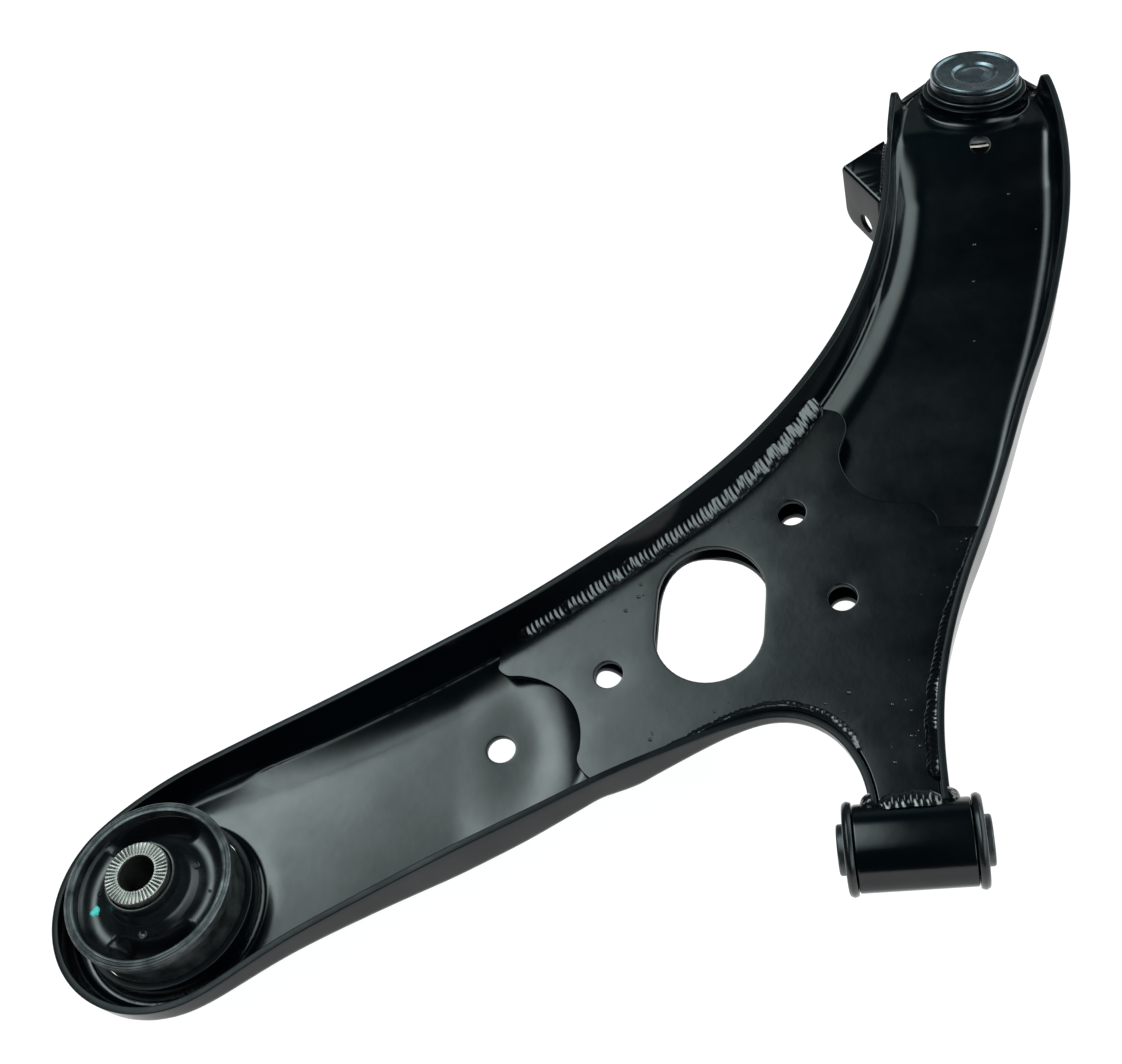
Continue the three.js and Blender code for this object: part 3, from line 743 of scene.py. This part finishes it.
def weld(name, corner, side_a, side_b, size, seed, *replaced, ripple=0.22, grow=0.0):
    """A lumpy bead in a corner. side_a and side_b are unit directions along the two faces, at each point.

    grow is the share by which the bead is larger at its far end than at its near one.
    """
    corner = np.asarray(corner, float)
    travelled = run_length(corner)
    stations = np.linspace(0, travelled[-1], max(6, round(travelled[-1] / 0.55)))
    line, a, b = (along_line(stations, travelled, np.asarray(values)) for values in (corner, side_a, side_b))
    a /= norm(a, axis=1)[:, None]
    b /= norm(b, axis=1)[:, None]
    steps = 12
    points = []
    for i, s in enumerate(stations):
        from_end = min(s, stations[-1] - s)
        taper = 0.35 + 0.65 * sqrt(min(1.0, from_end / size)) if from_end < size else 1.0
        taper *= 1 + grow * s / stations[-1]
        leg_a = size * taper * (1 + 0.16 * wobble(s, 7, seed) + 0.10 * wobble(s, 2.6, seed + 3))
        leg_b = size * taper * (1 + 0.14 * wobble(s, 6, seed + 9) + 0.08 * wobble(s, 2.1, seed + 5))
        for k in range(steps + 1):
            u = k / steps
            turn = u * pi / 2
            crown = 0.15 * size * sin(2 * turn) * (1 + 0.9 * wobble(s, 4.5, seed + 2))
            middle = sin(pi * u)
            crown += ripple * sin(2 * pi * s / RIPPLE_PITCH + 1.9 * middle) * middle
            along_a = leg_a * (1 - u) + crown * 0.7
            along_b = leg_b * u + crown * 0.7
            if k == 0:
                along_b -= ROOT
            if k == steps:
                along_a -= ROOT
            points.append(line[i] + a[i] * along_a + b[i] * along_b)
        points.append(line[i] - (a[i] + b[i]) * ROOT)
    sections = numbered(0, len(stations), steps + 2)
    faces = turned(sections, steps + 2) + [sections[0][::-1], sections[-1]]
    done(shade(raw_mesh(name, points, faces), 60), WELD, "arm", "weld_e_coat", *replaced)


def everywhere(way, line):
    """One direction, for every point of a line."""
    return np.repeat([np.array(way, float)], len(line), axis=0)


def plate_weld(name, keep, size, seed, *replaced, grow=0.0):
    """A bead on the closing plate, along the part of the wall whose points pass a test."""
    line = wall[:, :2] + inward * (SHEET + 0.1)
    chosen = np.array([keep(x, y) for x, y in line])
    plan = line[chosen]
    corner = np.column_stack([plan, plate_top(plan[:, 1])])
    side = np.column_stack([inward[chosen], PLATE_SLOPE * inward[chosen][:, 1]])
    weld(name, corner, side, everywhere((0, 0, 1), plan), size, seed, *replaced, grow=grow)


plate_weld("upper_bead", lambda x, y: 138 < x < 274 and y > 100, 4.4, 1, "weld_plate_upper", grow=0.6)
plate_weld("lower_bead", lambda x, y: 184 < x < 279 and 42 < y < 76, 3.6, 2, "weld_plate_lower")
plate_weld("right_bead", lambda x, y: x > 296 and 33 < y < 141, 4.6, 3, "weld_plate_right")


def around_tube(x, start, end, count=30):
    """Points round the front tube at one x, and the directions away from its axis."""
    turns = np.radians(np.linspace(start, end, count))
    radial = np.column_stack([np.zeros(count), np.cos(turns), np.sin(turns)])
    return np.array([x, *FRONT_CENTRE[1:]]) + radial * 16.55, radial


for name, x, way, seed, node_name in (("neck_bead_left", 281.3, -1, 4, "weld_neck_left"),
                                      ("neck_bead_right", 310.4, 1, 5, "weld_neck_right")):
    line, radial = around_tube(x, 44, -82)
    weld(name, line, everywhere((way, 0, 0), line), radial, 4.0, seed, node_name, ripple=0.4)

# The beads above and below the neck run straight along the tube. The upper one bulges away from it.
_, lift = around_tube(0, 47, 47, 12)
seam = np.column_stack([np.linspace(284.4, 307.6, 12), 7.2 + 16.6 * lift[:, 1], -26.4 + 16.6 * lift[:, 2]])
seam[:, 1] += 0.5 * np.sin(np.linspace(0, pi, 12))
tangent = np.column_stack([0 * lift[:, 0], -lift[:, 2], lift[:, 1]])
weld("neck_bead_top", seam, tangent, everywhere((0, 0.97, 0.24), seam), 4.0, 6, "weld_neck_top", ripple=0.4)
under = np.column_stack([np.linspace(283, 308, 12), np.full(12, 7.2), np.full(12, -43.0)])
weld("neck_bead_under", under, everywhere((0, -0.2, -1), under), everywhere((0, 1, 0), under), 2.8, 7,
     "weld_neck_under")


def on_left_wall(y):
    """Plan point on the outer face of the front wall at a given y, and the direction away from the arm."""
    row = int(np.argmin(np.abs(wall[:, 1] - y) + 1000 * (wall[:, 0] > 330)))
    return wall[row, :2], -inward[row]


bracket_rows = [on_left_wall(y) for y in np.linspace(324, 357, 12)]
for name, z, way, seed, node_name in (("bracket_bead_top", 5.0, 1, 8, "weld_bracket_top"),
                                      ("bracket_bead_under", 2.5, -1, 9, "weld_bracket_bottom")):
    corner = np.array([(p[0], p[1], z) for p, _ in bracket_rows])
    away = np.array([(o[0], o[1], 0) for _, o in bracket_rows])
    weld(name, corner, away, everywhere((0, 0, way), corner), 2.6, seed, node_name)


def make_spatter():
    """Small balls of weld metal, stuck beside the beads and painted over."""
    places = []
    for i in range(46):
        pick = noise.cell(Vector((i * 3.1, 1.5, 0)))
        other = noise.cell(Vector((i * 1.7, 9.5, 4)))
        size = 0.35 + 0.5 * noise.cell(Vector((i * 5.3, 2.2, 8))) ** 2
        if i < 18:
            spot = stretch(SHEET + 7 + 16 * other ** 2, lambda x, y: 150 < x < 266 and y > 96)
        elif i < 34:
            spot = stretch(SHEET + 6 + 14 * other ** 2, lambda x, y: x > 290 and 36 < y < 141)
        else:
            spot = stretch(SHEET + 6 + 12 * other ** 2, lambda x, y: 190 < x < 279 and 40 < y < 76)
        x, y = spot[int(pick * (len(spot) - 1))]
        places.append((x, y, plate_top(y) + 0.1 * size, size))
    for x, y, size in ((352.5, 297, 0.9), (371.5, 324, 0.8), (349.6, 276, 0.7), (381, 301, 0.6),
                       (346, 243, 0.6)):
        z = float(floor_height(np.array([[x, y]]))[0])
        places.append((x, y, z + 0.1, size))
    work = bmesh.new()
    for x, y, z, size in places:
        blob = bmesh.ops.create_icosphere(work, subdivisions=2, radius=1)
        for v in blob["verts"]:
            v.co = Vector((x + v.co.x * size * 1.15, y + v.co.y * size, z + v.co.z * size * 0.7))
    points = [tuple(v.co) for v in work.verts]
    faces = [tuple(v.index for v in f.verts) for f in work.faces]
    work.free()
    done(shade(raw_mesh("weld_spatter", points, faces), 80), WELD, "arm", "weld_e_coat")


make_spatter()


# ---- side bracket
def make_bracket():
    start, end = np.array([296.3, 346.9]), np.array([311.2, 319.0])
    width = float(norm(end - start))
    run = (end - start) / width
    out = np.array([run[1], -run[0]])
    out = out if out[0] < 0 else -out
    bend, top = 2.2, 5.0

    def place(u, n, z):
        plan = start + run * u + out * n
        return (plan[0], plan[1], z)

    # Lengths along the fold are shared by the top, the bend and the upright, so that they join.
    lengths = np.linspace(EDGE, width - EDGE, 22)
    fold = [tuple(start + run * u - out * bend) for u in lengths]
    wall_side = [(313.9, 321.5), (315.1, 331), (315.8, 340), (316.9, 349), (317.7, 356), (317.5, 360.2)]
    rest = resampled(np.array([fold[-1]] + wall_side), 2.0)[1:].tolist()
    closing = resampled(np.array([rest[-1], fold[0]]), 2.0)[1:-1].tolist()
    outline = fold + [tuple(p) for p in rest + closing]
    coords, faces = filled([outline], [])
    points = [(x, y, top) for x, y in coords]
    rows = numbered(0, 1, len(lengths)) + numbered(len(points), 5, len(lengths))
    for turn in np.radians((18, 36, 54, 72, 90)):
        out_by, height = -bend + bend * sin(turn), top - bend + bend * cos(turn)
        points += [place(u, out_by, height) for u in lengths]
    faces = faces.tolist() + turned(rows, len(lengths), closed=False)
    low = top - 33 + EDGE
    side_a = [(EDGE, z) for z in np.linspace(top - bend, low + 6, 8)[1:-1]]
    side_b = [(width - EDGE, z) for z in np.linspace(low + 6, top - bend, 8)[1:-1]]
    foot_line = arc(EDGE + 6, low + 6, 6, 180, 270, 6) + arc(width - EDGE - 6, low + 6, 6, 270, 360, 6)
    face_outline = side_a + foot_line + side_b + [(u, top - bend) for u in lengths[::-1]]
    hole = circle(18.5, -19, 4.75 + EDGE, 1.0)
    coords, more = filled([face_outline, hole], [])
    shared = []
    for u, z in coords:
        if abs(z - (top - bend)) < 1e-6:
            shared.append(rows[-1][int(np.argmin(np.abs(lengths - u)))])
        else:
            shared.append(len(points))
            points.append(place(u, 0, z))
    faces += [[shared[i] for i in f] for f in more]
    finish_sheet(sheet_metal("hose_bracket", points, faces, 2.5, 0.5), "side_bracket")


make_bracket()


# ---- rear bush
sleeve = lathe("rear_outer_sleeve", [
    (31.3, -36, 0.4), (33, -36, 0.4), (33, -4.4, 1.5), (34.9, -1.6, 0.8), (35, 2.3, 0.5), (34.5, 2.8, 0.2),
    (34.1, 2.35, 0.2), (33.4, 2.9, 0.2), (32.7, 2.4, 0.2), (32.2, 2.9, 0.25), (31.2, 2.6, 0.3),
    (31.2, -3.4, 0.4), (31.3, -8, 0),
], UPRIGHT, 160)
done(shade(sleeve, 50), SLEEVE, "arm", "dark_steel", "rear_bush_outer_sleeve")


def follow_rubber(piece):
    """Bakes a piece's placement into its mesh."""
    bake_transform(piece)


def finish_rubber(piece, material):
    """Finishes a small thing that sits on the rubber."""
    piece.data.materials.append(material)
    follow_rubber(piece)


def sector(name, start, groove, depth):
    """A quarter of the moulded rubber, with a groove of the given radius and depth sunk into its top."""
    outline = rounded(RUBBER_SECTION, 4)
    size, count = len(outline), 56
    points = []
    for i in range(count + 1):
        turn = radians(start + 90 * i / count)
        share = ease(sin(pi * i / count), 0, 0.62)
        for r, h in outline:
            sunk = depth * share * ease(1 - abs(r - groove) / GROOVE_REACH, 0, 1) if h > -6 else 0
            points.append((r * cos(turn), r * sin(turn), h - sunk))
    sections = numbered(0, count + 1, size)
    faces = turned(sections, size) + [sections[0], sections[-1][::-1]]
    piece = shade(raw_mesh(name, points, faces), 50)
    piece.data.materials.append(RUBBER)
    follow_rubber(piece)
    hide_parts("rear_bush_rubber")


RUBBER_SECTION = [
    (13.2, -36, 0.4), (15.8, -34.5, 1.5), (18, -29.5, 2), (20.6, -29, 1), (24.5, -29, 1), (28.4, -29.5, 1),
    (31.1, -33, 0.5), (31.1, -0.8, 0.5), (30.2, -1.9, 0), (29.1, -2.7, 0), (28.0, -3.2, 0),
    (26.9, -3.6, 0), (25.8, -3.8, 0), (24.7, -3.9, 0), (23.6, -3.8, 0), (22.5, -3.6, 0), (21.4, -3.2, 0),
    (19.6, -2.2, 2.0), (17.0, -0.2, 4.0), (15.0, 5.0, 3.0), (14.6, 9.6, 0.5), (13.6, 9.6, 0.3),
    (13.2, 8.6, 0.2),
]
GROOVE_REACH = 4.6        # half the width of a groove
sector("rear_rubber_front", -36, 26, 0)
sector("rear_rubber_upper", 54, 27.2, 9)
sector("rear_rubber_rear", 144, 26, 0)
sector("rear_rubber_lower", 234, 24.8, 9)


def make_nubs():
    """Small rings and pips left on the rubber by its mould."""
    places = ((17.6, 8.2, -1.9, 1.6), (0.2, -19.2, -1.9, 1.8), (-23.2, -0.3, -3.8, 1.1),
              (-4.0, 18.8, -1.7, 1.3), (24.3, -2.1, -3.9, 0.6))
    for i, (x, y, z, r) in enumerate(places):
        profile = [(0, -0.8, 0), (r, -0.8, 0), (r, 0.5, 0.4), (r * 0.72, 0.5, 0.3), (r * 0.5, 0, 0.3),
                   (0, 0.1, 0)]
        lean = frame_about((x, y, z), (x * 0.012, y * 0.012, 1))
        finish_rubber(shade(lathe(f"rubber_nub_{i}", profile, lean, 28, 3), 50), RUBBER)


make_nubs()
dab = lathe("paint_dab", [(0, -0.6, 0), (2.0, -0.6, 0), (2.1, 0.15, 0.3), (1.2, 0.4, 0.4), (0, 0.45, 0)],
            frame_about((-23.6, -7.6, -3.7), (-0.05, -0.1, 1)), 28, 3)
# The dab's outline is uneven.
for vertex in dab.data.vertices:
    offset = vertex.co - dab.data.vertices[0].co
    vertex.co += Vector((0.10 * sin(offset.y * 2100), 0.16 * sin(offset.x * 1700 + 1), 0)) * MM * 3
finish_rubber(shade(dab, 60), TEAL)


def make_serrated_sleeve():
    """The sleeve's top face is cut into teeth. Each level is (radius, height, share of the teeth's depth)."""
    teeth, per_tooth = 46, 6
    count = teeth * per_tooth
    levels = [
        (7.2, 12.0, 0), (7.7, 12.55, 0), (8.5, 12.6, 0.25), (9.2, 12.68, 1), (12.2, 12.68, 1),
        (12.75, 12.6, 0.5), (13, 12.3, 0), (13, -46.3, 0), (12.5, -47, 0), (7.9, -47, 0), (7.2, -46.3, 0),
    ]
    points = []
    for r, h, tooth in levels:
        for k in range(count):
            turn = 2 * pi * k / count
            phase = (k % per_tooth) / per_tooth
            wave = 0.32 * cos(2 * pi * phase) if tooth else 0.0
            points.append((r * cos(turn), r * sin(turn), h + tooth * max(wave, -0.18)))
    rows = numbered(0, len(levels), count)
    piece = shade(raw_mesh("rear_serrated_sleeve", points, turned(rows + rows[:1], count)), 30)
    done(piece, SERRATED, "rear_core", "bare_steel", "rear_bush_inner_sleeve")
    # The bore and its two inner chamfers take the near-black painted shade of the hole.
    piece.data.materials.append(BORE_SHADE)
    for polygon in piece.data.polygons:
        level = polygon.index // count
        polygon.material_index = 1 if level in (0, len(levels) - 2, len(levels) - 1) else 0


make_serrated_sleeve()

# ---- front bush
def front_ring(name, half, segments, sharp, *finish):
    """A piece of the front bush, turned about its axis. half is the section's near half, from inside out."""
    section = [(r, -h, c) for r, h, c in half] + half[::-1]
    done(shade(lathe(name, section, FRONT_AXIS, segments), sharp), *finish)


TUBE_HALF = 21.8          # half the length of the tube and of the sleeve pressed into it
front_ring("front_tube", [(14.4, TUBE_HALF, 0.4), (16.5, TUBE_HALF, 0.9)], 128, 50,
           E_COAT, "arm", "black_e_coat", "front_bush_tube")
front_ring("front_outer_sleeve", [(12.9, TUBE_HALF, 0.2), (14.1, TUBE_HALF, 0.3)], 96, 50,
           DARK_STEEL, "arm", "dark_steel", "front_bush_outer_sleeve")
front_ring("front_rubber", [
    (9.9, 26, 0.4), (12.2, 25.5, 0.9), (13.4, 25.8, 0.8), (17.0, 25.7, 1.8), (17.9, 23.9, 1.3),
    (17.3, 22.15, 0.7), (12.6, 22.1, 0.4),
], 128, 50, RUBBER, "arm", "bush_rubber", "front_bush_rubber")
front_ring("front_inner_sleeve", [
    (6.2, 28.1, 0.3), (6.7, 28.5, 0.2), (9.1, 28.5, 0.5), (9.6, 27.9, 0.4),
], 96, 40, DULL, "front_core", "bare_steel", "front_bush_inner_sleeve")

# ---- ball joint
cap = lathe("ball_cap", [
    (0, -4.2, 0), (16.1, -4.2, 0.2), (16.1, -2.4, 0.2), (20.9, -2.4, 0.3), (21, -1.1, 0.6), (20.2, 0, 0.9),
    (19.0, -0.1, 0.5), (18.2, -0.9, 0.6), (10.9, -1.1, 0.6), (9.8, -2.1, 0.5), (8.6, -2.2, 0.5),
    (4.5, -1.2, 2.5), (0, -1.0, 0),
], BALL_AXIS, 144)
done(shade(cap, 50), CAP_STEEL, "arm", "dark_steel", "ball_joint_cap")
body = lathe("ball_housing", [
    (16.4, -2.7, 0.2), (20.9, -2.7, 0.7), (20.9, -6.5, 0.5), (18.9, -6.6, 0.1), (18.9, -8.9, 0.1),
    (20.3, -8.9, 0.4), (20.3, -28.5, 0.4), (17.2, -28.5, 0.2), (17.2, -31.6, 0.2), (18.7, -31.6, 0.4),
    (18.7, -34, 0.6), (15, -34, 0.6), (11, -25.2, 0.4), (16.4, -25.2, 0.5),
], BALL_AXIS, 128)
done(shade(body, 50), HOUSING_STEEL, "arm", "dark_steel", "ball_joint_housing")
snap = lathe("snap_ring", [
    (19.2, -8.6, 0.2), (22.4, -8.6, 0.6), (22.4, -6.95, 0.6), (19.2, -6.95, 0.2),
], BALL_AXIS, 128)
done(shade(snap, 50), DARK_STEEL, "arm", "bare_steel", "ball_joint_snap_ring")

# The boot is made in two halves.
BOOT_OUT = [
    (19.2, -28.8, 0.3), (19.2, -30.8, 0.4), (20.9, -31.2, 0.8), (22.3, -34.8, 2.2), (21.6, -38.8, 1.8),
    (19.2, -40.2, 0.7), (19.4, -41.6, 0.9), (16.4, -44.0, 1.6), (13.2, -45.6, 0.9), (12.6, -46.4, 0.7),
    (11, -47.4, 0.5), (11, -50.2, 0.4),
]
BOOT_IN = [
    (9.3, -50.2, 0.4), (9.3, -46.8, 0.8), (12.2, -44.4, 1), (16.8, -42, 1), (17.4, -40.6, 0.6),
    (19.8, -38, 1.6), (20.4, -35, 1.6), (19.2, -31.8, 0.6), (17.5, -31.3, 0.3), (17.5, -28.8, 0.3),
]
upper_half = BOOT_OUT[:6] + [(17.4, -40.2, 0)] + BOOT_IN[5:]
lower_half = [(17.4, -40.25, 0), (19.2, -40.25, 0)] + BOOT_OUT[6:] + BOOT_IN[:4]
upper_boot = lathe("boot_upper", upper_half, BALL_AXIS)
lower_boot = lathe("boot_lower", lower_half, BALL_AXIS)
axis_direction = np.array(BALL_LEAN) / norm(BALL_LEAN)


for piece, bodies, start, end in ((upper_boot, ("arm", "boot"), -31, -40),
                                  (lower_boot, ("boot", "boot_end"), -40.4, -47)):
    shade(piece, 50)
    piece.data.materials.append(RUBBER)
    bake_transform(piece)
    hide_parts("dust_boot")


def clamp(name, r, low, high, body_name, node_name):
    outside = r + 1.1
    section = [(r, low, 0.3), (outside, low, 0.5), (outside, high, 0.5), (r, high, 0.3)]
    done(shade(lathe(name, section, BALL_AXIS), 50), BARE, body_name, "bare_steel", node_name)


clamp("clamp_ring_large", 19.5, -30.6, -28.9, "arm", "boot_clamp_large")
clamp("clamp_ring_small", 11.3, -49.6, -47.8, "boot_end", "boot_clamp_small")


def make_stud():
    """The ball, its tapered shank and a true helical thread of 1.5 mm pitch."""
    around = 72
    rows = [(0, -7.6)]
    rows += arc(0, -19, 12, 71.8, -56, 25)
    rows += rounded([(6.5, -29.5, 0), (6.3, -42, 1.5), (6.5, -44, 2.0), (9, -45.9, 0.6), (9, -50.5, 0.4),
                     (7.7, -69.6, 0), (6.6, -70.2, 0.4), (6.6, -71.6, 0.4), (7, -72.2, 0)], 3)[:-1]
    rows += [(7.0, h) for h in np.arange(-72.2, -87.0, -0.25)]
    rows += [(6.4, -87.4), (5.8, -88), (3.4, -88), (3.2, -86.2), (0, -85.9)]

    def thread(r, h, k):
        if not -87.1 < h < -72.1:
            return r
        phase = (h / 1.5 - k / around) % 1
        depth = 0.85 * abs(2 * phase - 1)
        fade = min(1, (-72.1 - h) / 1.5, (h + 87.1) / 1.2)
        return 7.0 - max(0, depth - 0.06) * max(0, fade)

    piece = shade(revolved("tapered_stud", rows, BALL_AXIS, around, thread), 38)
    done(piece, BARE, "stud", "bare_steel", "ball_stud")


make_stud()

# The CAD's own inner pieces keep their shape and take a finish.
for name, material in (("ball_seat", SEAT), ("seat_spring_disc", BARE)):
    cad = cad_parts[name]
    cad.data.materials.clear()
    cad.data.materials.append(material)


# ---- camera and light
scene = bpy.context.scene
camera_data = bpy.data.cameras.new("camera")
camera_data.sensor_width = 36
camera_data.sensor_fit = "HORIZONTAL"
camera_data.lens = 51.09
camera = add_object("camera", camera_data)
right, up, back = (0.9737, 0.0296, -0.2258), (0.1092, 0.8093, 0.5771), (0.1998, -0.5866, 0.7848)
camera.matrix_world = Matrix((right, up, back)).transposed().to_4x4()
camera.location = Vector(np.array([298.8, -250.6, 536.9]) * MM + ORIGIN)
scene.camera = camera


overhead_data = bpy.data.lights.new("overhead", "AREA")
overhead_data.size = 2.4
overhead_data.energy = 14
overhead = add_object("overhead", overhead_data)
overhead.location = (0.1, 0, 1.6)
overhead.rotation_euler = Vector((-0.1, 0, -1.6)).to_track_quat("-Z", "Y").to_euler()
overhead.visible_glossy = False

# The studio: a large softbox up to the left that fades to the right, a low backdrop and a lamp on the right.
world = bpy.data.worlds.new("studio")
world.use_nodes = True
sky = world.node_tree
direction = node(sky, "ShaderNodeSeparateXYZ")
sky.links.new(node(sky, "ShaderNodeTexCoord").outputs["Generated"], direction.inputs[0])


def sky_band(axis, stops, low=-1.0, high=1.0):
    """A brightness that follows one component of the direction, from (component, share) stops."""
    share = map_range(sky, direction.outputs[axis], 0, 1, low, high)
    return ramp(sky, share, [((at - low) / (high - low), (value,)) for at, value in stops])


across_box = sky_band("X", [(-0.62, 0), (-0.52, 0.6), (-0.42, 1), (-0.3, 1), (-0.25, 0.8), (-0.2, 0.46),
                            (-0.14, 0.36), (-0.09, 0.19), (-0.06, 0.07), (-0.025, 0.01), (0.02, 0)])
height_box = sky_band("Z", [(0.3, 0), (0.6, 1)])
depth_box = sky_band("Y", [(-0.5, 0), (-0.2, 0.7), (0.2, 1), (0.56, 1), (0.7, 0)])
softbox = combined(sky, "MULTIPLY", across_box, combined(sky, "MULTIPLY", height_box, depth_box))
low_band = sky_band("Z", [(0.32, 1), (0.55, 0)])
backdrop = combined(sky, "MULTIPLY", sky_band("Y", [(0.8, 0), (0.95, 1)]), low_band)
side_height = sky_band("Z", [(0.12, 0), (0.3, 1), (0.6, 1), (0.8, 0)])
side_light = combined(sky, "MULTIPLY", sky_band("X", [(0.36, 0), (0.55, 1)]), side_height)
light = 0.012
for part, strength in ((softbox, 6.4), (backdrop, 0.14), (side_light, 3.0)):
    light = combined(sky, "ADD", combined(sky, "MULTIPLY", part, strength), light)
background = sky.nodes["Background"]
background.inputs["Color"].default_value = (0.84, 1.0, 0.99, 1)
sky.links.new(light, background.inputs["Strength"])
scene.world = world

floor_mesh = bpy.data.meshes.new("floor")
half_width, level = 40, -0.0006
corners = [(x * half_width, y * half_width, level) for x, y in ((-1, -1), (1, -1), (1, 1), (-1, 1))]
floor_mesh.from_pydata(corners, [], [(0, 1, 2, 3)])
floor = add_object("floor", floor_mesh)
floor_paint, floor_tree, floor_shader = new_material("floor_paper")
tone = ramp(floor_tree, noise_texture(floor_tree, 3, 2), [(0.3, (0.15,)), (0.7, (0.16,))])
floor_tree.links.new(tone, floor_shader.inputs["Base Color"])
floor_shader.inputs["Roughness"].default_value = 0.7
floor_shader.inputs["Emission Color"].default_value = (1, 1, 1, 1)
floor_shader.inputs["Emission Strength"].default_value = 0.95
floor_shader.inputs["Specular IOR Level"].default_value = 0.0
floor_mesh.materials.append(floor_paint)
scene.view_settings.view_transform = "Standard"
